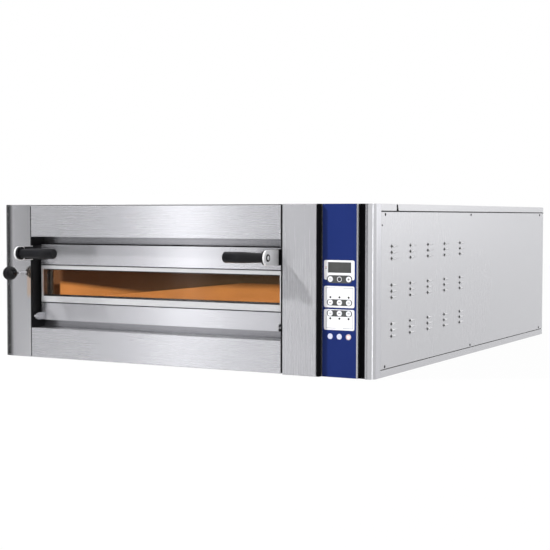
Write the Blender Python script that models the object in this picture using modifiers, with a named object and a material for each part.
"""A countertop electric deck oven for pizza and bread, with one chamber behind a bottom-hinged glass door.

Metres, +Z up. X runs across the front and Y from front to rear. The origin is the centre of the base.
"""

import math

import bmesh
import bpy
from mathutils import Matrix, Vector

# Overall body, and the gap that touching pieces keep.
BODY_WIDTH = 1.1535
BODY_DEPTH = 1.400
BODY_HEIGHT = 0.430
SEAT = 0.0003
SHEET = 0.0010
THICK_SHEET = 0.0015

# Widths of the front pieces, from the left end to the right end.
POST_WIDTH = 0.0935
POST_BEND_WIDTH = 0.036
POST_BEND_DEPTH = 0.009
POST_BEND_STEPS = 16
FASCIA_GAP = 0.003
PILLAR_GAP = 0.011
CLOSER_SETBACK = 0.024
PILLAR_WIDTH = 0.095
PILLAR_PROUD = 0.012
TRIM_LEFT_WIDTH = 0.009
TRIM_LEFT_PROUD = 0.010
PANEL_WIDTH = 0.100
TRIM_RIGHT_WIDTH = 0.019
TRIM_RIGHT_SETBACK = 0.008
COLUMN_WIDTH = 0.023
COLUMN_RADIUS = 0.020
COLUMN_WALL = 0.003
FRONT_DEPTH = 0.0431

# Heights of the casing pieces.
PAN_WALL = 0.018
PAN_SHEET = 0.0015
PANEL_LIFT = 0.002
LID_HEIGHT = 0.017
LID_GAP = 0.001
LOWER_FASCIA_HEIGHT = 0.083
UPPER_FASCIA_HEIGHT = 0.087
FASCIA_DROP = 0.003
PANEL_RETURN_FRONT = 0.012
PANEL_RETURN_REAR = 0.0115
BEHIND_REAR_PANEL = 0.012
LID_FRONT_LENGTH = 0.0957
LID_MAIN_LENGTH = 0.406
NOTCH_LENGTH = 0.014
NOTCH_SLANT = 0.0068

# Scoop louvres of the right side panel: five columns of three groups of three.
LOUVRE_COLUMNS = 5
LOUVRE_GROUPS = 3
LOUVRES_IN_GROUP = 3
LOUVRE_LENGTH = 0.055
LOUVRE_HEIGHT = 0.011
LOUVRE_RISE = 0.0045
LOUVRE_WALL = 0.0011
LOUVRE_PITCH = 0.0154
LOUVRE_GROUP_PITCH = 0.0975
LOUVRE_COLUMN_PITCH = 0.1217
LOUVRE_FIRST_Y = 0.1086
LOUVRE_TOP_Z = 0.3242
LOUVRE_FRONT_SHIFT = 0.0008
LOUVRE_BORE_LENGTH = 0.9
LOUVRE_BORE_HEIGHT = 0.92

# Door, its window and its pivots.
DOOR_SIDE_GAP = 0.009
DOOR_BOTTOM_GAP = 0.021
DOOR_TOP_GAP = 0.022
DOOR_SETBACK = 0.033
DOOR_THICKNESS = 0.024
WINDOW_SIDE = 0.009
WINDOW_ABOVE = 0.069
WINDOW_BELOW = 0.0678
BEZEL_TOP = 0.010
BEZEL_BOTTOM = 0.017
BEZEL_END = 0.0075
BEZEL_RISE = 0.003
GLASS = 0.004
GLASS_LAP = 0.004
GASKET_WIDTH = 0.010
GASKET_GAP = 0.003
GASKET_DEPTH = 0.003
PIVOT_SETBACK = 0.015
PIVOT_ABOVE_DOOR_BOTTOM = 0.011
PIN_DIAMETER = 0.008
PIN_CLEARANCE = 0.0003
PIN_HEAD_RISE = 0.0025
PIN_HEAD_THICKNESS = 0.003
PIN_SHOULDER = 0.002
EAR_THICKNESS = 0.003
EAR_RADIUS = 0.010

# Handles: a flat bracket at each end of the door carries a grip that points inwards.
BRACKET_THICKNESS = 0.005
BRACKET_HEIGHT = 0.039
HANDLE_REACH = 0.060
HANDLE_BELOW_DOOR_TOP = 0.023
BRACKET_TAIL = 0.016
GRIP_LENGTH = 0.121
GRIP_DIAMETER = 0.0285
GRIP_NECK_DIAMETER = 0.024
FLANGE_DIAMETER = 0.036
FLANGE_THICKNESS = 0.005
SPINDLE_DIAMETER = 0.008
GRIP_CHAMFER = 0.003
GRIP_TAPER_SHARE = 0.55

# Baking chamber.
CHAMBER_SIDE_MARGIN = 0.030
CHAMBER_REAR_MARGIN = 0.255
STONE_BELOW_WINDOW = 0.0142
STONE_THICKNESS = 0.014
STONE_JOINT = 0.0005
LEDGE_WIDTH = 0.0075
CAVITY_BELOW_STONE = 0.030
CEILING_BELOW_DOOR_TOP = 0.021
MOUTH_LIP = 0.004
INSULATION_SIDE = 0.030
INSULATION_REAR = 0.040
INSULATION_ABOVE = 0.040
INSULATION_BELOW = 0.030
RAIL_WIDTH = 0.030
RAIL_INSET = 0.060
RAIL_PLACES = (0.12, 0.50, 0.88)
ELEMENT_DIAMETER = 0.008
ELEMENT_RUNS = 4
ELEMENT_MARGIN = 0.140
ELEMENT_CLEARANCE = 0.0004
ELEMENT_OFFSET = 0.014
ELEMENT_TAIL = 0.055
ELEMENT_SIDE_SPACE = 0.030
WALL_DRILL = 0.12
LAMP_FROM_MOUTH = 0.150
LAMP_DIAMETER = 0.044
LAMP_FLANGE_DIAMETER = 0.056
LAMP_BODY_LENGTH = 0.060
LAMP_CAP_LENGTH = 0.015
LAMP_CAP_SHARE = 0.6
LENS_EDGE = 0.003
LENS_RISE = 0.006
LENS_SHARE = 0.9

# Vent: a knob on the left post slides a shutter over a port in the chamber's left wall.
KNOB_FROM_LEFT = 0.0615
ROD_BELOW_PORT_TOP = 0.047
KNOB_DIAMETER = 0.040
KNOB_REACH = 0.050
KNOB_NECK = 0.010
KNOB_NECK_ANGLE = 50
ROD_DIAMETER = 0.008
ROD_CLEARANCE = 0.0003
BUSH_DIAMETER = 0.012
BUSH_FLANGE_DIAMETER = 0.016
BUSH_FLANGE_THICKNESS = 0.003
BUSH_LENGTH = 0.010
VENT_TRAVEL = 0.060
PORT_LENGTH = 0.055
PORT_HEIGHT = 0.044
PORT_FROM_CHAMBER_REAR = 0.060
PORT_BELOW_CEILING = 0.012
SHUTTER_LAP = 0.008
SHUTTER_GAP = 0.0004
DUCT_WALL = 0.0015
DUCT_BESIDE_SPIGOT = 0.0035
DUCT_HEIGHT = 0.090
DUCT_ABOVE_PORT = 0.016
DUCT_FRONT_SPACE = 0.007
SPIGOT_DIAMETER = 0.055
SPIGOT_LENGTH = 0.024

# Control panel: a coated keypad in an aluminium extrusion.
PANEL_END = 0.0015
PANEL_WALL = 0.002
RIM_LEFT = 0.0027
RIM_RIGHT = 0.0042
WEB_SETBACK = 0.0025
WEB_THICKNESS = 0.0018
KEYPAD_THICKNESS = 0.0008
KEY_DIAMETER = 0.014
KEY_THICKNESS = 0.0011
KEY_STEM_DIAMETER = 0.005
KEY_TRAVEL = 0.0005
KEY_CLEARANCE = 0.0004
KEY_PITCH = 0.0250
KEY_ROWS = (0.2438, 0.1860, 0.1592, 0.1017)
DISPLAY_WIDTH = 0.0632
DISPLAY_HEIGHT = 0.0262
DISPLAY_CENTRE_Z = 0.2727
DISPLAY_THICKNESS = 0.003
DISPLAY_CLEARANCE = 0.0003
BOARD_THICKNESS = 0.0016
BOARD_MARGIN = 0.008
BOARD_SPACE = 0.004
KEY_STEM_PAST_WEB = 0.0025
COMPONENT_LENGTH = 0.024
COMPONENT_WIDTH = 0.028
COMPONENTS = ((0.010, 0.012), (0.045, 0.016), (0.120, 0.010))

# Rear: cooling fan and cable gland.
FAN_SIZE = 0.120
FAN_DEPTH = 0.038
FAN_BORE = 0.112
FAN_BLADES = 7
FAN_HUB_DIAMETER = 0.040
FAN_AXLE_DIAMETER = 0.008
FAN_SPOKE_WIDTH = 0.006
FAN_SPOKE_DEPTH = 0.005
FAN_SPACE = 0.004
FAN_TIP_GAP = 0.003
FAN_BLADE_PITCH = 35
FAN_BLADE_THICKNESS = 0.0016
FAN_CHORD_SHARE = 0.9
FAN_FROM_RIGHT = 0.115
FAN_CENTRE_Z = 0.210
GLAND_THREAD_DIAMETER = 0.024
GLAND_NUT_DIAMETER = 0.033
GLAND_FROM_RIGHT = 0.090
GLAND_CENTRE_Z = 0.075
GLAND_BORE = 0.012
GLAND_REACH = 0.024
GLAND_NUT_LENGTH = 0.014
GLAND_INSIDE = 0.012
GLAND_CHAMFER = 0.002

# Planes worked out from the sizes above.
LEFT = -BODY_WIDTH / 2
RIGHT = BODY_WIDTH / 2
FRONT = -BODY_DEPTH / 2
REAR = BODY_DEPTH / 2
FRONT_BACK = FRONT + FRONT_DEPTH
CASE_FRONT = FRONT_BACK + SEAT
POST_RIGHT = LEFT + POST_WIDTH
COLUMN_LEFT = RIGHT - COLUMN_WIDTH
PANEL_RIGHT = COLUMN_LEFT - TRIM_RIGHT_WIDTH
PANEL_LEFT = PANEL_RIGHT - PANEL_WIDTH
PILLAR_RIGHT = PANEL_LEFT - TRIM_LEFT_WIDTH
PILLAR_LEFT = PILLAR_RIGHT - PILLAR_WIDTH
OPENING_LEFT = POST_RIGHT + FASCIA_GAP
OPENING_RIGHT = PILLAR_LEFT - PILLAR_GAP
CASE_BOTTOM = PAN_WALL + PANEL_LIFT
LID_BOTTOM = BODY_HEIGHT - LID_HEIGHT
CASE_TOP = LID_BOTTOM - LID_GAP
FASCIA_TOP = BODY_HEIGHT - FASCIA_DROP
RECESS_TOP = FASCIA_TOP - UPPER_FASCIA_HEIGHT
RECESS_BOTTOM = LOWER_FASCIA_HEIGHT
FRAME_Y = FRONT + DOOR_SETBACK + DOOR_THICKNESS + GASKET_DEPTH

DOOR_LEFT = OPENING_LEFT + DOOR_SIDE_GAP
DOOR_RIGHT = OPENING_RIGHT - DOOR_SIDE_GAP
DOOR_BOTTOM = RECESS_BOTTOM + DOOR_BOTTOM_GAP
DOOR_TOP = RECESS_TOP - DOOR_TOP_GAP
DOOR_FRONT = FRONT + DOOR_SETBACK
DOOR_BACK = DOOR_FRONT + DOOR_THICKNESS
WINDOW_LEFT = DOOR_LEFT + WINDOW_SIDE
WINDOW_RIGHT = DOOR_RIGHT - WINDOW_SIDE
WINDOW_BOTTOM = DOOR_BOTTOM + WINDOW_BELOW
WINDOW_TOP = DOOR_TOP - WINDOW_ABOVE
PIVOT_Y = FRONT + PIVOT_SETBACK
PIVOT_Z = DOOR_BOTTOM + PIVOT_ABOVE_DOOR_BOTTOM
PIN_RADIUS = PIN_DIAMETER / 2
EAR_HOLE_RADIUS = PIN_RADIUS + PIN_CLEARANCE

CHAMBER_LEFT = OPENING_LEFT + CHAMBER_SIDE_MARGIN
CHAMBER_RIGHT = OPENING_RIGHT - CHAMBER_SIDE_MARGIN
CHAMBER_FRONT = FRAME_Y + THICK_SHEET + SEAT
CHAMBER_REAR = REAR - CHAMBER_REAR_MARGIN
STONE_TOP = WINDOW_BOTTOM - STONE_BELOW_WINDOW
STONE_BOTTOM = STONE_TOP - STONE_THICKNESS
CHAMBER_FLOOR = STONE_BOTTOM - CAVITY_BELOW_STONE
CHAMBER_CEILING = DOOR_TOP - CEILING_BELOW_DOOR_TOP
SHELL_LEFT = CHAMBER_LEFT - THICK_SHEET
SHELL_RIGHT = CHAMBER_RIGHT + THICK_SHEET
SHELL_REAR = CHAMBER_REAR + THICK_SHEET
SHELL_BOTTOM = CHAMBER_FLOOR - THICK_SHEET
SHELL_TOP = CHAMBER_CEILING + THICK_SHEET
WRAP_LEFT = SHELL_LEFT - INSULATION_SIDE
WRAP_RIGHT = SHELL_RIGHT + INSULATION_SIDE
WRAP_TOP = SHELL_TOP + INSULATION_ABOVE
WRAP_BOTTOM = SHELL_BOTTOM - INSULATION_BELOW

ROD_X = LEFT + KNOB_FROM_LEFT
ROD_RADIUS = ROD_DIAMETER / 2
ROD_HOLE_RADIUS = ROD_RADIUS + ROD_CLEARANCE
PORT_TOP = CHAMBER_CEILING - PORT_BELOW_CEILING
PORT_BOTTOM = PORT_TOP - PORT_HEIGHT
ROD_Z = PORT_TOP - ROD_BELOW_PORT_TOP
PORT_REAR = CHAMBER_REAR - PORT_FROM_CHAMBER_REAR
PORT_FRONT = PORT_REAR - PORT_LENGTH
DUCT_RIGHT = WRAP_LEFT - SEAT
DUCT_LEFT = DUCT_RIGHT - SPIGOT_DIAMETER - 2 * DUCT_BESIDE_SPIGOT
SHUTTER_FRONT = PORT_FRONT - SHUTTER_LAP
DUCT_FRONT = SHUTTER_FRONT - VENT_TRAVEL - DUCT_FRONT_SPACE
DUCT_REAR = REAR - BEHIND_REAR_PANEL
DUCT_TOP = PORT_TOP + DUCT_ABOVE_PORT
DUCT_BOTTOM = DUCT_TOP - DUCT_HEIGHT
REAR_PANEL_BACK = REAR - SHEET - SEAT
REAR_PANEL_FRONT = REAR_PANEL_BACK - SHEET

WEB_FRONT = FRONT + WEB_SETBACK
WEB_BACK = WEB_FRONT + WEB_THICKNESS
KEYPAD_BACK = WEB_FRONT - SEAT
KEYPAD_FRONT = KEYPAD_BACK - KEYPAD_THICKNESS
KEYPAD_LEFT = PANEL_LEFT + RIM_LEFT + SEAT
KEYPAD_RIGHT = PANEL_RIGHT - RIM_RIGHT - SEAT
KEYPAD_CENTRE_X = (KEYPAD_LEFT + KEYPAD_RIGHT) / 2
KEY_BACK = WEB_FRONT - SEAT - KEY_TRAVEL
BOARD_FRONT = WEB_BACK + BOARD_SPACE

STEEL = (0.62, 0.62, 0.63, 1.0)
DARK_STEEL = (0.34, 0.34, 0.35, 1.0)
BLACK = (0.015, 0.015, 0.016, 1.0)
SEGMENTS = 24
OVERRUN = 0.01

parts = bpy.data.collections.new("deck_oven")
cutters = bpy.data.collections.new("cutters")


def clear_scene():
    for thing in list(bpy.data.objects):
        bpy.data.objects.remove(thing, do_unlink=True)
    bpy.context.scene.collection.children.link(parts)
    bpy.context.scene.collection.children.link(cutters)


def material(name, colour, roughness, metallic):
    made = bpy.data.materials.get(name)
    if made is None:
        made = bpy.data.materials.new(name)
        made.use_nodes = True
        shader = made.node_tree.nodes["Principled BSDF"]
        shader.inputs["Base Color"].default_value = colour
        shader.inputs["Roughness"].default_value = roughness
        shader.inputs["Metallic"].default_value = metallic
    return made


def add_part(name, mesh, surface):
    """Links a mesh as a named piece, or as a hidden cutter when it has no surface."""
    made = bpy.data.objects.new(name, mesh)
    if surface is None:
        cutters.objects.link(made)
        made.hide_render = True
        made.display_type = "WIRE"
    else:
        parts.objects.link(made)
        mesh.materials.append(surface)
    return made


def mesh_from(fill):
    """A mesh that a bmesh builder fills."""
    mesh = bpy.data.meshes.new("mesh")
    work = bmesh.new()
    fill(work)
    work.to_mesh(mesh)
    work.free()
    return mesh


def box(name, low, high, surface=None):
    low = Vector(low)
    high = Vector(high)
    size = high - low
    middle = (low + high) / 2
    stretch = Matrix.Diagonal(size.to_4d())
    mesh = mesh_from(lambda work: bmesh.ops.create_cube(work, size=1.0, matrix=stretch))
    made = add_part(name, mesh, surface)
    made.location = middle
    return made


def axis_rotation(axis):
    """Turns local +Z onto the named axis."""
    turns = {"X": (0, math.pi / 2, 0), "Y": (-math.pi / 2, 0, 0), "Z": (0, 0, 0)}
    return turns[axis]


def shade_round(mesh):
    mesh.shade_smooth()
    mesh.set_sharp_from_angle(angle=math.radians(35))


def cylinder(name, centre, radius, length, axis, surface=None, segments=SEGMENTS):
    def fill(work):
        bmesh.ops.create_cone(
            work, cap_ends=True, segments=segments, radius1=radius, radius2=radius, depth=length
        )

    mesh = mesh_from(fill)
    shade_round(mesh)
    made = add_part(name, mesh, surface)
    made.location = centre
    made.rotation_euler = axis_rotation(axis)
    return made


def cut(target, cutter, operation="DIFFERENCE"):
    boolean = target.modifiers.new(operation.title(), "BOOLEAN")
    boolean.operation = operation
    boolean.solver = "EXACT"
    boolean.object = cutter


def drill(target, centre, radius, length, axis, segments=SEGMENTS):
    cut(target, cylinder(target.name + "_hole", centre, radius, length, axis, segments=segments))


def pocket(target, low, high):
    cut(target, box(target.name + "_pocket", low, high))


def join_box(target, low, high):
    cut(target, box(target.name + "_block", low, high), "UNION")


def arc(centre, radius, start, end, steps):
    """Points on an arc, with the angles in degrees."""
    points = []
    for step in range(steps + 1):
        angle = math.radians(start + (end - start) * step / steps)
        points.append((centre[0] + radius * math.cos(angle), centre[1] + radius * math.sin(angle)))
    return points


PLANE_AXES = {
    "X": Matrix(((0, 0, 1), (1, 0, 0), (0, 1, 0))),
    "Y": Matrix(((1, 0, 0), (0, 0, -1), (0, 1, 0))),
    "Z": Matrix(((1, 0, 0), (0, 1, 0), (0, 0, 1))),
}


def prism(name, outline, axis, start, end, surface=None, holes=()):
    """A flat outline, drawn as (Y, Z), (X, Z) or (X, Y), that fills the stretch between two planes."""
    curve = bpy.data.curves.new(name, "CURVE")
    curve.dimensions = "2D"
    curve.fill_mode = "BOTH"
    curve.extrude = abs(end - start) / 2
    for ring in (outline, *holes):
        spline = curve.splines.new("POLY")
        spline.points.add(len(ring) - 1)
        spline.use_cyclic_u = True
        for point, place in zip(spline.points, ring):
            point.co = (place[0], place[1], 0, 1)
    drawn = bpy.data.objects.new(name + "_outline", curve)
    parts.objects.link(drawn)
    along = {"X": Vector((1, 0, 0)), "Y": Vector((0, 1, 0)), "Z": Vector((0, 0, 1))}[axis]
    drawn.matrix_world = Matrix.Translation(along * (start + end) / 2) @ PLANE_AXES[axis].to_4x4()
    bpy.context.view_layer.update()
    mesh = bpy.data.meshes.new_from_object(drawn.evaluated_get(bpy.context.evaluated_depsgraph_get()))
    work = bmesh.new()
    work.from_mesh(mesh)
    bmesh.ops.remove_doubles(work, verts=work.verts, dist=0.00001)
    bmesh.ops.recalc_face_normals(work, faces=work.faces)
    work.to_mesh(mesh)
    work.free()
    mesh.materials.clear()
    made = add_part(name, mesh, surface)
    made.matrix_world = drawn.matrix_world.copy()
    bpy.data.objects.remove(drawn, do_unlink=True)
    return made


def folded_sheet(name, path, axis, start, end, thickness, surface):
    """A bent sheet whose outer face follows the path, drawn with the inside on its left."""
    turn = PLANE_AXES[axis]
    near_end, far_end = (-start, -end) if axis == "Y" else (start, end)
    run = Vector(path[1]) - Vector(path[0])
    outward = turn @ Vector((run.y, -run.x, 0))

    def fill(work):
        near = [work.verts.new(turn @ Vector((u, v, near_end))) for u, v in path]
        edges = [work.edges.new(pair) for pair in zip(near, near[1:])]
        grown = bmesh.ops.extrude_edge_only(work, edges=edges)["geom"]
        far = [item for item in grown if isinstance(item, bmesh.types.BMVert)]
        bmesh.ops.translate(work, verts=far, vec=turn.col[2] * (far_end - near_end))
        work.normal_update()
        if near[0].link_faces[0].normal.dot(outward) < 0:
            bmesh.ops.reverse_faces(work, faces=work.faces)

    made = add_part(name, mesh_from(fill), surface)
    solid = made.modifiers.new("Solidify", "SOLIDIFY")
    solid.thickness = thickness
    solid.offset = -1
    solid.use_even_offset = True
    return made


def turned(name, profile, axis, location, surface=None, steps=SEGMENTS):
    """A round piece from (radius, height) points that run down its outer side from the top."""
    mesh = bpy.data.meshes.new(name)
    points = [(radius, 0, height) for radius, height in profile]
    edges = [(index, index + 1) for index in range(len(points) - 1)]
    mesh.from_pydata(points, edges, [])
    made = add_part(name, mesh, surface)
    made.location = location
    made.rotation_euler = axis_rotation(axis)
    screw = made.modifiers.new("Screw", "SCREW")
    screw.steps = steps
    screw.render_steps = steps
    screw.use_merge_vertices = True
    screw.merge_threshold = 0.00001
    screw.use_smooth_shade = True
    return made


def tube(name, points, radius, surface):
    """A bent rod with flat ends."""
    curve = bpy.data.curves.new(name, "CURVE")
    curve.dimensions = "3D"
    curve.bevel_depth = radius
    curve.bevel_resolution = 2
    curve.use_fill_caps = True
    spline = curve.splines.new("POLY")
    spline.points.add(len(points) - 1)
    for point, place in zip(spline.points, points):
        point.co = (*place, 1)
    made = bpy.data.objects.new(name, curve)
    parts.objects.link(made)
    curve.materials.append(surface)
    return made


def surfaces():
    """The finishes, by the name that the pieces use."""
    return {
        "steel": material("brushed_stainless", STEEL, 0.32, 1.0),
        "chrome": material("polished_chrome", (0.72, 0.72, 0.74, 1.0), 0.10, 1.0),
        "liner": material("heat_tinted_steel", (0.48, 0.40, 0.33, 1.0), 0.42, 1.0),
        "dark": material("dark_steel", DARK_STEEL, 0.50, 1.0),
        "black": material("black_plastic", BLACK, 0.45, 0.0),
        "paint": material("black_painted_steel", BLACK, 0.40, 0.0),
        "aluminium": material("anodised_aluminium", (0.66, 0.66, 0.68, 1.0), 0.35, 1.0),
        "blue": material("blue_keypad_film", (0.015, 0.03, 0.15, 1.0), 0.35, 0.0),
        "key": material("pale_key", (0.75, 0.75, 0.77, 1.0), 0.45, 0.0),
        "glass": material("door_glass", (0.10, 0.07, 0.05, 1.0), 0.05, 0.0),
        "stone": material("firebrick", (0.62, 0.42, 0.26, 1.0), 0.85, 0.0),
        "wool": material("rock_wool", (0.55, 0.50, 0.38, 1.0), 0.95, 0.0),
        "board": material("circuit_board", (0.03, 0.16, 0.06, 1.0), 0.55, 0.0),
        "rope": material("glass_fibre_rope", (0.50, 0.48, 0.45, 1.0), 0.90, 0.0),
    }


def make_base_pan(finish):
    """The bottom tray, with three cross rails that carry the insulated chamber."""
    path = [(LEFT, PAN_WALL), (LEFT, 0), (RIGHT, 0), (RIGHT, PAN_WALL)]
    pan = folded_sheet("base_pan", path, "Y", CASE_FRONT, REAR, PAN_SHEET, finish["steel"])
    low_x = WRAP_LEFT + RAIL_INSET
    high_x = WRAP_RIGHT - RAIL_INSET
    top = WRAP_BOTTOM - SEAT
    for share in RAIL_PLACES:
        y = CHAMBER_FRONT + share * (SHELL_REAR - CHAMBER_FRONT)
        join_box(pan, (low_x, y, PAN_SHEET / 2), (high_x, y + PAN_SHEET, top))
        join_box(pan, (low_x, y, top - PAN_SHEET), (high_x, y + RAIL_WIDTH, top))


def make_left_side_panel(finish):
    path = [
        (LEFT + PANEL_RETURN_REAR, REAR),
        (LEFT, REAR),
        (LEFT, CASE_FRONT),
        (LEFT + PANEL_RETURN_FRONT, CASE_FRONT),
    ]
    folded_sheet("left_side_panel", path, "Z", CASE_BOTTOM, CASE_TOP, SHEET, finish["steel"])


def scoop(work, y, z, length, height, low_x, rise):
    """Adds a half cone that lies on the panel, deepest at its front end."""
    front_low = work.verts.new((low_x, y, z - height / 2))
    front_high = work.verts.new((low_x, y, z + height / 2))
    crown = work.verts.new((low_x + rise, y, z))
    tip = work.verts.new((low_x, y + length, z))
    for corners in (
        (front_low, crown, front_high),
        (front_low, tip, crown),
        (crown, tip, front_high),
        (front_low, front_high, tip),
    ):
        work.faces.new(corners)


def louvre_places():
    """The front end and the mid height of each louvre."""
    for column in range(LOUVRE_COLUMNS):
        for group in range(LOUVRE_GROUPS):
            for row in range(LOUVRES_IN_GROUP):
                y = FRONT + LOUVRE_FIRST_Y + column * LOUVRE_COLUMN_PITCH
                z = LOUVRE_TOP_Z - group * LOUVRE_GROUP_PITCH - row * LOUVRE_PITCH
                yield y, z


def scoops(name, length, height, low_x, rise, front_shift, surface=None):
    def fill(work):
        for y, z in louvre_places():
            scoop(work, y + front_shift, z, length, height, low_x, rise)
        bmesh.ops.recalc_face_normals(work, faces=work.faces)

    return add_part(name, mesh_from(fill), surface)


def make_right_side_panel(finish):
    path = [
        (RIGHT - PANEL_RETURN_FRONT, CASE_FRONT),
        (RIGHT, CASE_FRONT),
        (RIGHT, REAR),
        (RIGHT - PANEL_RETURN_REAR, REAR),
    ]
    panel = folded_sheet("right_side_panel", path, "Z", CASE_BOTTOM, CASE_TOP, SHEET, finish["steel"])
    inset = SHEET / 2
    slope = LOUVRE_HEIGHT / 2 / LOUVRE_RISE
    outer_height = LOUVRE_HEIGHT + 2 * inset * slope
    outer_rise = LOUVRE_RISE + inset
    hoods = scoops("louvre_hoods", LOUVRE_LENGTH, outer_height, RIGHT - inset, outer_rise, 0)
    cut(panel, hoods, "UNION")
    depth = 2 * SHEET
    inner_rise = LOUVRE_RISE + depth - LOUVRE_WALL
    inner_height = 2 * inner_rise * slope * LOUVRE_BORE_HEIGHT
    inner_length = LOUVRE_LENGTH * LOUVRE_BORE_LENGTH
    shift = -LOUVRE_FRONT_SHIFT
    bores = scoops("louvre_bores", inner_length, inner_height, RIGHT - depth, inner_rise, shift)
    cut(panel, bores)


def make_rear_panel(finish):
    low = (LEFT + PAN_SHEET + SEAT, REAR_PANEL_FRONT, PAN_SHEET + SEAT)
    high = (RIGHT - PAN_SHEET - SEAT, REAR_PANEL_BACK, CASE_TOP)
    panel = box("rear_panel", low, high, finish["steel"])
    through = 2 * OVERRUN
    drill(panel, (RIGHT - FAN_FROM_RIGHT, REAR_PANEL_BACK, FAN_CENTRE_Z), FAN_BORE / 2, through, "Y")
    spigot_z = (DUCT_TOP + DUCT_BOTTOM) / 2
    spigot_x = (DUCT_LEFT + DUCT_RIGHT) / 2
    drill(panel, (spigot_x, REAR_PANEL_BACK, spigot_z), SPIGOT_DIAMETER / 2 + SEAT, through, "Y")
    gland_place = (RIGHT - GLAND_FROM_RIGHT, REAR_PANEL_BACK, GLAND_CENTRE_Z)
    drill(panel, gland_place, GLAND_THREAD_DIAMETER / 2 + SEAT, through, "Y")


def lid_path():
    return [(RIGHT, LID_BOTTOM), (RIGHT, BODY_HEIGHT), (LEFT, BODY_HEIGHT), (LEFT, LID_BOTTOM)]


def make_top_covers(finish):
    front_end = CASE_FRONT + LID_FRONT_LENGTH
    main_start = front_end + SEAT
    main_end = main_start + LID_MAIN_LENGTH
    steel = finish["steel"]
    folded_sheet("top_cover_front", lid_path(), "Y", CASE_FRONT, front_end, SHEET, steel)
    main = folded_sheet("top_cover_main", lid_path(), "Y", main_start, main_end, SHEET, steel)
    folded_sheet("top_cover_rear", lid_path(), "Y", main_end + SEAT, REAR, SHEET, steel)
    top = BODY_HEIGHT - SHEET - SEAT
    low_end = (main_start + NOTCH_LENGTH, LID_BOTTOM - SHEET)
    high_end = (main_start + NOTCH_LENGTH - NOTCH_SLANT, top)
    outline = [(main_start - SHEET, LID_BOTTOM - SHEET), low_end, high_end, (main_start - SHEET, top)]
    for side, x in (("left", LEFT), ("right", RIGHT)):
        cut(main, prism("notch_" + side, outline, "X", x - OVERRUN, x + OVERRUN))


def rounded_corner(x_low, x_high, y_low, y_high, radius, steps):
    """A rectangle in plan whose front-right corner is rounded."""
    bend = arc((x_high - radius, y_low + radius), radius, 270, 360, steps)
    return [(x_low, y_low), *bend, (x_high, y_high), (x_low, y_high)]


def crowned_post(wall):
    """The post in plan, inset by a wall: its front curves back gently and meets the side tightly."""
    width = POST_BEND_WIDTH - wall
    depth = POST_BEND_DEPTH - wall
    bend = []
    for step in range(POST_BEND_STEPS + 1):
        angle = math.radians(180 + 90 * step / POST_BEND_STEPS)
        x = LEFT + wall + width * (1 + math.cos(angle))
        y = FRONT + wall + depth * (1 + math.sin(angle))
        bend.append((x, y))
    right = POST_RIGHT - wall
    rear = FRONT_BACK + wall
    return [*bend, (right, FRONT + wall), (right, rear), (LEFT + wall, rear)]


def make_left_front_post(finish):
    wall = THICK_SHEET
    post = prism("left_front_post", crowned_post(0), "Z", 0, BODY_HEIGHT, finish["steel"])
    cut(post, prism("post_hollow", crowned_post(wall), "Z", wall, BODY_HEIGHT - wall))
    drill(post, (ROD_X, FRONT, ROD_Z), BUSH_DIAMETER / 2 + SEAT, 2 * OVERRUN, "Y")


def make_right_front_pillar(finish):
    low = (PILLAR_LEFT, FRONT - PILLAR_PROUD, 0)
    high = (PILLAR_RIGHT, FRONT_BACK, BODY_HEIGHT)
    pillar = box("right_front_pillar", low, high, finish["steel"])
    wall = THICK_SHEET
    pocket(
        pillar,
        (low[0] + wall, low[1] + wall, low[2] + wall),
        (high[0] - wall, high[1] + wall, high[2] - wall),
    )


def make_corner_column(finish):
    outer = rounded_corner(COLUMN_LEFT, RIGHT, FRONT, FRONT_BACK, COLUMN_RADIUS, 8)
    column = prism("corner_column", outer, "Z", 0, BODY_HEIGHT, finish["aluminium"])
    wall = COLUMN_WALL
    inner = rounded_corner(
        COLUMN_LEFT + wall, RIGHT - wall, FRONT + wall, FRONT_BACK + wall, COLUMN_RADIUS - wall, 6
    )
    cut(column, prism("column_hollow", inner, "Z", wall, BODY_HEIGHT - wall))


def make_fascias(finish):
    back = FRAME_Y - SEAT
    lower = [(FRONT_BACK, 0), (FRONT, 0), (FRONT, LOWER_FASCIA_HEIGHT), (back, LOWER_FASCIA_HEIGHT)]
    upper = [(back, RECESS_TOP), (FRONT, RECESS_TOP), (FRONT, FASCIA_TOP), (back, FASCIA_TOP)]
    for name, path in (("lower_fascia", lower), ("upper_fascia", upper)):
        path = path[::-1]
        folded_sheet(name, path, "X", OPENING_LEFT, OPENING_RIGHT, THICK_SHEET, finish["steel"])


def make_jambs(finish):
    """Black liners at the two ends of the recess; the right one closes the gap to the pillar."""
    low_z = PAN_SHEET + SEAT
    high_z = FASCIA_TOP
    box(
        "left_jamb",
        (POST_RIGHT + SEAT, FRONT + SHEET, low_z),
        (OPENING_LEFT - SEAT, FRAME_Y - SEAT, high_z),
        finish["paint"],
    )
    right_x = OPENING_RIGHT + SEAT
    right = box(
        "right_jamb",
        (right_x, FRONT + SHEET, low_z),
        (right_x + THICK_SHEET, FRAME_Y - SEAT, high_z),
        finish["paint"],
    )
    closer_y = FRONT + CLOSER_SETBACK
    join_box(
        right,
        (right_x + THICK_SHEET / 2, closer_y, low_z),
        (PILLAR_LEFT - SEAT, closer_y + THICK_SHEET, high_z),
    )


def make_chamber_front_frame(finish):
    frame = box(
        "chamber_front_frame",
        (POST_RIGHT + SEAT, FRAME_Y, PAN_SHEET + SEAT),
        (PILLAR_LEFT - SEAT, FRAME_Y + THICK_SHEET, CASE_TOP),
        finish["steel"],
    )
    pocket(
        frame,
        (CHAMBER_LEFT, FRAME_Y - OVERRUN, STONE_TOP - MOUTH_LIP),
        (CHAMBER_RIGHT, FRAME_Y + OVERRUN, CHAMBER_CEILING - MOUTH_LIP),
    )


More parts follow.
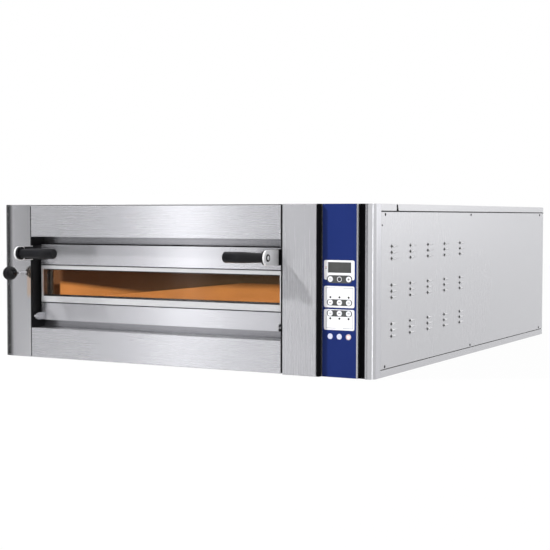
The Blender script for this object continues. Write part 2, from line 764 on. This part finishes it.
def element_ends():
    """The two ends of a heating element on the right wall, from front to rear."""
    span = CHAMBER_REAR - CHAMBER_FRONT - 2 * ELEMENT_MARGIN
    pitch = span / (ELEMENT_RUNS - 1)
    return [CHAMBER_FRONT + ELEMENT_MARGIN + index * pitch for index in range(ELEMENT_RUNS)]


def element_heights():
    return {
        "lower_element": STONE_BOTTOM - ELEMENT_OFFSET,
        "upper_element": CHAMBER_CEILING - ELEMENT_OFFSET,
    }


def make_elements(finish):
    """Two serpentine tubular heaters whose ends leave through the right wall."""
    rows = element_ends()
    bend = (rows[1] - rows[0]) / 2
    near = CHAMBER_RIGHT + ELEMENT_TAIL
    turn_right = CHAMBER_RIGHT - ELEMENT_SIDE_SPACE - bend
    turn_left = CHAMBER_LEFT + ELEMENT_SIDE_SPACE + bend
    for name, z in element_heights().items():
        points = [(near, rows[0], z)]
        for index in range(ELEMENT_RUNS - 1):
            centre_y = (rows[index] + rows[index + 1]) / 2
            on_left = index % 2 == 0
            centre_x = turn_left if on_left else turn_right
            sweep = (270, 90) if on_left else (-90, 90)
            points += [(x, y, z) for x, y in arc((centre_x, centre_y), bend, *sweep, 6)]
        points.append((near, rows[-1], z))
        tube(name, points, ELEMENT_DIAMETER / 2, finish["dark"])


def drill_for_heaters(target, x):
    """Clears the element ends and the lamp where they pass a wall at x."""
    radius = ELEMENT_DIAMETER / 2 + ELEMENT_CLEARANCE
    rows = element_ends()
    for z in element_heights().values():
        for y in (rows[0], rows[-1]):
            drill(target, (x, y, z), radius, WALL_DRILL, "X", 12)
    lamp_y, lamp_z = lamp_place()
    drill(target, (x, lamp_y, lamp_z), LAMP_DIAMETER / 2 + SEAT, WALL_DRILL, "X")


def lamp_place():
    return CHAMBER_FRONT + LAMP_FROM_MOUTH, (STONE_TOP + CHAMBER_CEILING) / 2


def make_chamber_shell(finish):
    low = (SHELL_LEFT, CHAMBER_FRONT, SHELL_BOTTOM)
    high = (SHELL_RIGHT, SHELL_REAR, SHELL_TOP)
    shell = box("chamber_shell", low, high, finish["liner"])
    pocket(
        shell,
        (CHAMBER_LEFT, CHAMBER_FRONT - OVERRUN, CHAMBER_FLOOR),
        (CHAMBER_RIGHT, CHAMBER_REAR, CHAMBER_CEILING),
    )
    ledge_top = STONE_BOTTOM - SEAT
    ledge_bottom = ledge_top - THICK_SHEET
    join_box(
        shell,
        (SHELL_LEFT + SEAT, CHAMBER_FRONT + SHEET, ledge_bottom),
        (CHAMBER_LEFT + LEDGE_WIDTH, CHAMBER_REAR + SEAT, ledge_top),
    )
    join_box(
        shell,
        (CHAMBER_RIGHT - LEDGE_WIDTH, CHAMBER_FRONT + SHEET, ledge_bottom),
        (SHELL_RIGHT - SEAT, CHAMBER_REAR + SEAT, ledge_top),
    )
    pocket(
        shell,
        (SHELL_LEFT - OVERRUN, PORT_FRONT, PORT_BOTTOM),
        (CHAMBER_LEFT + OVERRUN, PORT_REAR, PORT_TOP),
    )
    drill_for_heaters(shell, SHELL_RIGHT)


def make_floor_stones(finish):
    """Two firebrick slabs that lie on the chamber's side ledges."""
    middle = (CHAMBER_FRONT + CHAMBER_REAR) / 2
    halves = {
        "floor_stone_front": (CHAMBER_FRONT + STONE_JOINT, middle - STONE_JOINT / 2),
        "floor_stone_rear": (middle + STONE_JOINT / 2, CHAMBER_REAR - STONE_JOINT),
    }
    for name, (near, far) in halves.items():
        box(
            name,
            (CHAMBER_LEFT + STONE_JOINT, near, STONE_BOTTOM),
            (CHAMBER_RIGHT - STONE_JOINT, far, STONE_TOP),
            finish["stone"],
        )


def make_insulation(finish):
    wrap = box(
        "insulation_wrap",
        (WRAP_LEFT, CHAMBER_FRONT, WRAP_BOTTOM),
        (WRAP_RIGHT, SHELL_REAR + INSULATION_REAR, WRAP_TOP),
        finish["wool"],
    )
    pocket(
        wrap,
        (SHELL_LEFT - SEAT, CHAMBER_FRONT - OVERRUN, SHELL_BOTTOM - SEAT),
        (SHELL_RIGHT + SEAT, SHELL_REAR + SEAT, SHELL_TOP + SEAT),
    )
    pocket(
        wrap,
        (WRAP_LEFT - OVERRUN, PORT_FRONT - SEAT - DUCT_WALL, PORT_BOTTOM - SEAT - DUCT_WALL),
        (SHELL_LEFT + OVERRUN, PORT_REAR + SEAT + DUCT_WALL, PORT_TOP + SEAT + DUCT_WALL),
    )
    drill_for_heaters(wrap, (SHELL_RIGHT + WRAP_RIGHT) / 2)


def make_lamp(finish):
    """A lamp behind a glass lens in the chamber's right wall, seen from inside as a round window."""
    lamp_y, lamp_z = lamp_place()
    lens = LAMP_FLANGE_DIAMETER / 2
    body = LAMP_DIAMETER / 2
    cap = body * LAMP_CAP_SHARE
    cap_end = LAMP_BODY_LENGTH + LAMP_CAP_LENGTH
    profile = [
        (0, cap_end),
        (cap, cap_end),
        (cap, LAMP_BODY_LENGTH),
        (body, LAMP_BODY_LENGTH),
        (body, -SEAT),
        (lens, -SEAT),
        (lens, -LENS_EDGE),
        (body * LENS_SHARE, -LENS_RISE),
        (0, -LENS_RISE),
    ]
    turned("chamber_lamp", profile, "X", (CHAMBER_RIGHT, lamp_y, lamp_z), finish["glass"])


def make_flue_duct(finish):
    """The duct that carries steam from the chamber's port to a spigot on the rear panel."""
    low = (DUCT_LEFT, DUCT_FRONT, DUCT_BOTTOM)
    high = (DUCT_RIGHT, DUCT_REAR, DUCT_TOP)
    duct = box("flue_duct", low, high, finish["dark"])
    wall = DUCT_WALL
    join_box(
        duct,
        (DUCT_RIGHT - wall / 2, PORT_FRONT - wall, PORT_BOTTOM - wall),
        (SHELL_LEFT - SEAT, PORT_REAR + wall, PORT_TOP + wall),
    )
    spigot = ((low[0] + high[0]) / 2, REAR + SPIGOT_LENGTH / 2, (low[2] + high[2]) / 2)
    spigot_length = SPIGOT_LENGTH + 2 * (REAR - DUCT_REAR) + wall
    cut(duct, cylinder("spigot", spigot, SPIGOT_DIAMETER / 2, spigot_length, "Y"), "UNION")
    pocket(
        duct,
        (low[0] + wall, low[1] + wall, low[2] + wall),
        (high[0] - wall, high[1] - wall, high[2] - wall),
    )
    pocket(
        duct,
        (DUCT_RIGHT - 2 * wall, PORT_FRONT, PORT_BOTTOM),
        (SHELL_LEFT + OVERRUN, PORT_REAR, PORT_TOP),
    )
    bore_length = 2 * (spigot_length + OVERRUN)
    drill(duct, (spigot[0], REAR, spigot[2]), SPIGOT_DIAMETER / 2 - wall, bore_length, "Y")
    drill(duct, (ROD_X, DUCT_FRONT, ROD_Z), ROD_HOLE_RADIUS, 2 * OVERRUN, "Y")


def make_vent_control(finish):
    """Knob, rod and shutter slide together through a bush in the left post."""
    rod_front = FRONT - KNOB_REACH + KNOB_DIAMETER / 2 + KNOB_NECK
    rod_end = SHUTTER_FRONT
    cylinder(
        "damper_rod",
        (ROD_X, (rod_front + SEAT + rod_end) / 2, ROD_Z),
        ROD_RADIUS,
        rod_end - rod_front - SEAT,
        "Y",
        finish["chrome"],
    )
    ball = KNOB_DIAMETER / 2
    profile = [(0, ball + KNOB_NECK), (BUSH_DIAMETER / 2, ball + KNOB_NECK)]
    profile += [(x, z) for z, x in arc((0, 0), ball, KNOB_NECK_ANGLE, 180, 9)]
    profile[-1] = (0, -ball)
    turned("damper_knob", profile, "Y", (ROD_X, FRONT - KNOB_REACH, ROD_Z), finish["black"])
    bore = ROD_HOLE_RADIUS
    sleeve = BUSH_DIAMETER / 2
    flange = BUSH_FLANGE_DIAMETER / 2
    ring = [
        (bore, BUSH_LENGTH),
        (sleeve, BUSH_LENGTH),
        (sleeve, -SEAT),
        (flange, -SEAT),
        (flange, -BUSH_FLANGE_THICKNESS),
        (bore, -BUSH_FLANGE_THICKNESS),
        (bore, BUSH_LENGTH),
    ]
    turned("damper_bush", ring, "Y", (ROD_X, FRONT, ROD_Z), finish["chrome"])
    shutter_x = DUCT_RIGHT - DUCT_WALL - SHUTTER_GAP
    path = [
        (shutter_x, PORT_REAR + SHUTTER_LAP),
        (shutter_x, rod_end + SEAT),
        (ROD_X - ROD_RADIUS, rod_end + SEAT),
    ]
    shutter_bottom = min(PORT_BOTTOM - SHUTTER_LAP, ROD_Z - ROD_RADIUS)
    shutter_top = max(PORT_TOP + SHUTTER_LAP, ROD_Z + ROD_RADIUS)
    folded_sheet("damper_blade", path[::-1], "Z", shutter_bottom, shutter_top, SHEET, finish["dark"])


def make_door(finish):
    make_door_panel(finish)
    make_door_liner(finish)
    make_door_glazing(finish)
    for side in ("left", "right"):
        make_handle(side, finish)
        make_hinge_pin(side, finish)


def ear_outline():
    """A hinge ear in side view, rounded about the pivot."""
    back = DOOR_FRONT + THICK_SHEET
    bend = arc((PIVOT_Y, PIVOT_Z), EAR_RADIUS, 270, 90, 10)
    return [(back, PIVOT_Z - EAR_RADIUS), *bend, (back, PIVOT_Z + EAR_RADIUS)]


def make_door_panel(finish):
    """The outer door skin: a pan that opens to the rear, with a window and a hinge ear at each end."""
    wall = THICK_SHEET
    panel = box(
        "door_panel",
        (DOOR_LEFT, DOOR_FRONT, DOOR_BOTTOM),
        (DOOR_RIGHT, DOOR_BACK - wall - SEAT, DOOR_TOP),
        finish["steel"],
    )
    pocket(
        panel,
        (DOOR_LEFT + wall, DOOR_FRONT + wall, DOOR_BOTTOM + wall),
        (DOOR_RIGHT - wall, DOOR_BACK + wall, DOOR_TOP - wall),
    )
    pocket(
        panel,
        (WINDOW_LEFT, DOOR_FRONT - OVERRUN, WINDOW_BOTTOM),
        (WINDOW_RIGHT, DOOR_FRONT + OVERRUN, WINDOW_TOP),
    )
    ears = {"left": DOOR_LEFT, "right": DOOR_RIGHT - EAR_THICKNESS}
    for side, x in ears.items():
        cut(panel, prism("ear_" + side, ear_outline(), "X", x, x + EAR_THICKNESS), "UNION")
    for side, x in ears.items():
        drill(panel, (x + EAR_THICKNESS / 2, PIVOT_Y, PIVOT_Z), EAR_HOLE_RADIUS, OVERRUN, "X")


def make_door_liner(finish):
    """The inner door skin, with a sleeve around the window that holds both panes."""
    liner = box(
        "door_liner",
        (DOOR_LEFT, DOOR_BACK - THICK_SHEET, DOOR_BOTTOM),
        (DOOR_RIGHT, DOOR_BACK, DOOR_TOP),
        finish["steel"],
    )
    lap = GLASS_LAP
    sleeve_front = DOOR_FRONT + THICK_SHEET + GLASS + 2 * SEAT
    join_box(
        liner,
        (WINDOW_LEFT - THICK_SHEET, sleeve_front, WINDOW_BOTTOM - THICK_SHEET),
        (WINDOW_RIGHT + THICK_SHEET, DOOR_BACK - SEAT, WINDOW_TOP + THICK_SHEET),
    )
    pocket(
        liner,
        (WINDOW_LEFT, DOOR_FRONT, WINDOW_BOTTOM),
        (WINDOW_RIGHT, DOOR_BACK - THICK_SHEET, WINDOW_TOP),
    )
    pocket(
        liner,
        (WINDOW_LEFT + lap, DOOR_BACK - OVERRUN, WINDOW_BOTTOM + lap),
        (WINDOW_RIGHT - lap, DOOR_BACK + OVERRUN, WINDOW_TOP - lap),
    )


def make_door_glazing(finish):
    lap = GLASS_LAP
    outer_front = DOOR_FRONT + THICK_SHEET + SEAT
    box(
        "outer_glass",
        (WINDOW_LEFT - lap, outer_front, WINDOW_BOTTOM - lap),
        (WINDOW_RIGHT + lap, outer_front + GLASS, WINDOW_TOP + lap),
        finish["glass"],
    )
    inner_back = DOOR_BACK - THICK_SHEET - SEAT
    box(
        "inner_glass",
        (WINDOW_LEFT + SEAT, inner_back - GLASS, WINDOW_BOTTOM + SEAT),
        (WINDOW_RIGHT - SEAT, inner_back, WINDOW_TOP - SEAT),
        finish["glass"],
    )
    bezel_front = DOOR_FRONT - SEAT - BEZEL_RISE
    bezel = box(
        "window_bezel",
        (WINDOW_LEFT - BEZEL_END, bezel_front, WINDOW_BOTTOM - BEZEL_BOTTOM),
        (WINDOW_RIGHT + BEZEL_END, DOOR_FRONT - SEAT, WINDOW_TOP + BEZEL_TOP),
        finish["chrome"],
    )
    pocket(
        bezel,
        (WINDOW_LEFT, bezel_front - OVERRUN, WINDOW_BOTTOM),
        (WINDOW_RIGHT, DOOR_FRONT + OVERRUN, WINDOW_TOP),
    )
    gasket_front = DOOR_BACK + SEAT
    mouth_bottom = STONE_TOP - MOUTH_LIP
    mouth_top = CHAMBER_CEILING - MOUTH_LIP
    gap = GASKET_GAP
    gasket = box(
        "door_gasket",
        (CHAMBER_LEFT - gap - GASKET_WIDTH, gasket_front, mouth_bottom - gap - GASKET_WIDTH),
        (CHAMBER_RIGHT + gap + GASKET_WIDTH, FRAME_Y - SEAT, mouth_top + gap + GASKET_WIDTH),
        finish["rope"],
    )
    pocket(
        gasket,
        (CHAMBER_LEFT - gap, gasket_front - OVERRUN, mouth_bottom - gap),
        (CHAMBER_RIGHT + gap, FRAME_Y + OVERRUN, mouth_top + gap),
    )


def make_handle(side, finish):
    """A flat bracket along the door's end, and a grip that points towards the door's middle."""
    inward = 1 if side == "left" else -1
    end = DOOR_LEFT if side == "left" else DOOR_RIGHT
    centre_z = DOOR_TOP - HANDLE_BELOW_DOOR_TOP
    grip_y = FRONT - HANDLE_REACH
    nose = BRACKET_HEIGHT / 2
    outline = arc((grip_y, centre_z), nose, 90, 270, 10)
    tail = DOOR_FRONT + BRACKET_TAIL
    outline += [(tail, centre_z - nose), (tail, centre_z + nose)]
    near = end - inward * SEAT
    far = near - inward * BRACKET_THICKNESS
    ends = (min(near, far), max(near, far))
    bracket = prism("handle_bracket_" + side, outline, "X", *ends, finish["chrome"])
    spindle = SPINDLE_DIAMETER / 2
    drill(bracket, (near, grip_y, centre_z), spindle + SEAT, 2 * OVERRUN, "X", 16)
    flange = FLANGE_DIAMETER / 2
    grip = GRIP_DIAMETER / 2
    neck = GRIP_NECK_DIAMETER / 2
    start = 2 * SEAT
    length = GRIP_LENGTH
    profile = [
        (0, start + length),
        (grip - GRIP_CHAMFER, start + length),
        (grip, start + length - GRIP_CHAMFER),
        (grip, start + length * GRIP_TAPER_SHARE),
        (neck, start + FLANGE_THICKNESS + SPINDLE_DIAMETER / 2),
        (neck, start + FLANGE_THICKNESS),
        (flange, start + FLANGE_THICKNESS),
        (flange, start),
        (spindle, start),
        (spindle, -BRACKET_THICKNESS),
        (0, -BRACKET_THICKNESS),
    ]
    grip_place = (near, grip_y, centre_z)
    handle = turned("handle_grip_" + side, profile, "X", grip_place, finish["black"], 20)
    if inward < 0:
        handle.rotation_euler = (0, -math.pi / 2, 0)


def make_hinge_pin(side, finish):
    """A shouldered pin on the jamb, with its head inside the door's ear."""
    inward = 1 if side == "left" else -1
    jamb = OPENING_LEFT - SEAT if side == "left" else OPENING_RIGHT + SEAT
    ear_far = DOOR_SIDE_GAP + EAR_THICKNESS + 2 * SEAT
    head = PIN_RADIUS + PIN_HEAD_RISE
    head_far = ear_far + SEAT + PIN_HEAD_THICKNESS
    profile = [
        (0, head_far),
        (head, head_far),
        (head, ear_far + SEAT),
        (PIN_RADIUS, ear_far + SEAT),
        (PIN_RADIUS, PIN_SHOULDER + SEAT),
        (head, PIN_SHOULDER + SEAT),
        (head, SEAT),
        (0, SEAT),
    ]
    pin = turned("hinge_pin_" + side, profile, "X", (jamb, PIVOT_Y, PIVOT_Z), finish["chrome"], 20)
    if inward < 0:
        pin.rotation_euler = (0, -math.pi / 2, 0)


def key_places():
    """The middle of each key, from the top row to the bottom row and from left to right in each."""
    for z in KEY_ROWS:
        for column in (-1, 0, 1):
            yield KEYPAD_CENTRE_X + column * KEY_PITCH, z


def make_panel_frame(finish):
    """The aluminium extrusion that carries the keypad, with its web cut for the keys and the display."""
    path = [
        (PANEL_LEFT, FRONT),
        (PANEL_LEFT + RIM_LEFT, FRONT),
        (PANEL_LEFT + RIM_LEFT, WEB_FRONT),
        (PANEL_RIGHT - RIM_RIGHT, WEB_FRONT),
        (PANEL_RIGHT - RIM_RIGHT, FRONT),
        (PANEL_RIGHT, FRONT),
        (PANEL_RIGHT, FRONT_BACK),
        (PANEL_RIGHT - PANEL_WALL, FRONT_BACK),
        (PANEL_RIGHT - PANEL_WALL, WEB_BACK),
        (PANEL_LEFT + PANEL_WALL, WEB_BACK),
        (PANEL_LEFT + PANEL_WALL, FRONT_BACK),
        (PANEL_LEFT, FRONT_BACK),
    ]
    frame = prism("panel_frame", path, "Z", 0, BODY_HEIGHT, finish["aluminium"])
    inset = PANEL_WALL / 2
    for bottom in (inset, BODY_HEIGHT - inset - PANEL_END):
        join_box(
            frame,
            (PANEL_LEFT + inset, WEB_FRONT + inset / 2, bottom),
            (PANEL_RIGHT - inset, FRONT_BACK - inset, bottom + PANEL_END),
        )
    pocket(frame, *display_box(DISPLAY_CLEARANCE, FRONT - OVERRUN, WEB_BACK + SHEET))
    for x, z in key_places():
        drill(frame, (x, WEB_FRONT, z), KEY_STEM_DIAMETER / 2 + KEY_CLEARANCE, OVERRUN, "Y", 10)


def display_box(margin, front, back):
    half_width = DISPLAY_WIDTH / 2 + margin
    half_height = DISPLAY_HEIGHT / 2 + margin
    return (
        (KEYPAD_CENTRE_X - half_width, front, DISPLAY_CENTRE_Z - half_height),
        (KEYPAD_CENTRE_X + half_width, back, DISPLAY_CENTRE_Z + half_height),
    )


def make_keypad(finish):
    keypad = box(
        "control_membrane",
        (KEYPAD_LEFT, KEYPAD_FRONT, SEAT),
        (KEYPAD_RIGHT, KEYPAD_BACK, BODY_HEIGHT - SEAT),
        finish["blue"],
    )
    pocket(keypad, *display_box(DISPLAY_CLEARANCE, FRONT - OVERRUN, WEB_FRONT + SHEET))
    for x, z in key_places():
        drill(keypad, (x, KEYPAD_FRONT, z), KEY_DIAMETER / 2 + KEY_CLEARANCE, OVERRUN, "Y", 14)
    front, back = KEYPAD_FRONT + SEAT, KEYPAD_FRONT + SEAT + DISPLAY_THICKNESS
    box("display_window", *display_box(0, front, back), finish["glass"])


def make_keys(finish):
    cap = KEY_DIAMETER / 2
    stem = KEY_STEM_DIAMETER / 2
    stem_end = WEB_BACK + KEY_STEM_PAST_WEB - KEY_BACK
    front = -KEY_THICKNESS
    profile = [(0, stem_end), (stem, stem_end), (stem, 0), (cap, 0), (cap, front), (0, front)]
    for number, (x, z) in enumerate(key_places(), 1):
        turned(f"key_{number:02d}", profile, "Y", (x, KEY_BACK, z), finish["key"], 12)


def make_control_board(finish):
    low_x = PANEL_LEFT + PANEL_WALL + SEAT
    high_x = PANEL_RIGHT - PANEL_WALL - SEAT
    bottom = KEY_ROWS[-1] - KEY_DIAMETER - BOARD_MARGIN
    top = DISPLAY_CENTRE_Z + DISPLAY_HEIGHT / 2 + BOARD_MARGIN
    board = box(
        "control_board",
        (low_x, BOARD_FRONT, bottom),
        (high_x, BOARD_FRONT + BOARD_THICKNESS, top),
        finish["board"],
    )
    back = BOARD_FRONT + BOARD_THICKNESS - SEAT
    for offset, height in COMPONENTS:
        join_box(
            board,
            (KEYPAD_CENTRE_X - COMPONENT_WIDTH / 2, back, bottom + offset),
            (KEYPAD_CENTRE_X + COMPONENT_WIDTH / 2, back + height, bottom + offset + COMPONENT_LENGTH),
        )


def make_edge_trims(finish):
    box(
        "edge_trim_left",
        (PILLAR_RIGHT + SEAT, FRONT - TRIM_LEFT_PROUD, 0),
        (PANEL_LEFT - SEAT, FRONT_BACK, BODY_HEIGHT),
        finish["black"],
    )
    box(
        "edge_trim_right",
        (PANEL_RIGHT + SEAT, FRONT + TRIM_RIGHT_SETBACK, 0),
        (COLUMN_LEFT - SEAT, FRONT_BACK, BODY_HEIGHT),
        finish["black"],
    )


def make_fan(finish):
    """An axial cooling fan behind the hole in the rear panel."""
    x = RIGHT - FAN_FROM_RIGHT
    half = FAN_SIZE / 2
    back = REAR_PANEL_FRONT - SEAT
    front = back - FAN_DEPTH
    housing = box(
        "fan_housing",
        (x - half, front, FAN_CENTRE_Z - half),
        (x + half, back, FAN_CENTRE_Z + half),
        finish["black"],
    )
    middle = (front + back) / 2
    drill(housing, (x, middle, FAN_CENTRE_Z), FAN_BORE / 2, FAN_DEPTH + OVERRUN, "Y")
    arm = half - FAN_SPACE / 2
    thin = FAN_SPOKE_WIDTH / 2
    for across, up in ((arm, thin), (thin, arm)):
        join_box(
            housing,
            (x - across, back - FAN_SPOKE_DEPTH, FAN_CENTRE_Z - up),
            (x + across, back, FAN_CENTRE_Z + up),
        )
    axle = FAN_AXLE_DIAMETER / 2
    axle_length = FAN_DEPTH - FAN_SPACE
    cut(housing, cylinder("fan_axle", (x, middle, FAN_CENTRE_Z), axle, axle_length, "Y"), "UNION")
    hub_back = back - FAN_SPOKE_DEPTH - SHEET
    hub_front = front + FAN_SPACE
    hub_length = hub_back - hub_front
    place = (x, (hub_back + hub_front) / 2, FAN_CENTRE_Z)
    rotor = cylinder("fan_rotor", place, FAN_HUB_DIAMETER / 2, hub_length, "Y", finish["black"])
    cut(rotor, fan_blades(place, hub_length), "UNION")
    drill(rotor, place, axle + PIN_CLEARANCE, FAN_DEPTH + OVERRUN, "Y")


def fan_blades(place, depth):
    """All the blades as one mesh, each a pitched plate that starts inside the hub."""
    tip = FAN_BORE / 2 - FAN_TIP_GAP
    root = FAN_HUB_DIAMETER / 2 - FAN_SPACE
    size = Matrix.Diagonal((tip - root, FAN_BLADE_THICKNESS, depth * FAN_CHORD_SHARE, 1))
    pitch = Matrix.Rotation(math.radians(FAN_BLADE_PITCH), 4, "X")
    along = Matrix.Translation(((tip + root) / 2, 0, 0))

    def fill(work):
        for index in range(FAN_BLADES):
            turn = Matrix.Rotation(2 * math.pi * index / FAN_BLADES, 4, "Z")
            bmesh.ops.create_cube(work, size=1.0, matrix=turn @ along @ pitch @ size)

    blades = add_part("fan_blades", mesh_from(fill), None)
    blades.location = place
    blades.rotation_euler = axis_rotation("Y")
    return blades


def make_cable_gland(finish):
    thread = GLAND_THREAD_DIAMETER / 2
    nut = GLAND_NUT_DIAMETER / 2
    bore = GLAND_BORE / 2
    ring = [
        (bore, GLAND_REACH),
        (thread - GLAND_CHAMFER, GLAND_REACH),
        (nut - GLAND_CHAMFER, GLAND_NUT_LENGTH + GLAND_CHAMFER),
        (nut, GLAND_NUT_LENGTH),
        (nut, SEAT),
        (thread, SEAT),
        (thread, -GLAND_INSIDE),
        (bore, -GLAND_INSIDE),
        (bore, GLAND_REACH),
    ]
    place = (RIGHT - GLAND_FROM_RIGHT, REAR_PANEL_BACK, GLAND_CENTRE_Z)
    turned("cable_gland", ring, "Y", place, finish["black"], 18)


def main():
    clear_scene()
    finish = surfaces()
    for make in (
        make_base_pan,
        make_left_side_panel,
        make_right_side_panel,
        make_rear_panel,
        make_top_covers,
        make_left_front_post,
        make_right_front_pillar,
        make_corner_column,
        make_fascias,
        make_jambs,
        make_chamber_front_frame,
        make_chamber_shell,
        make_floor_stones,
        make_elements,
        make_insulation,
        make_lamp,
        make_flue_duct,
        make_vent_control,
        make_door,
        make_panel_frame,
        make_keypad,
        make_keys,
        make_control_board,
        make_edge_trims,
        make_fan,
        make_cable_gland,
    ):
        make(finish)


main()
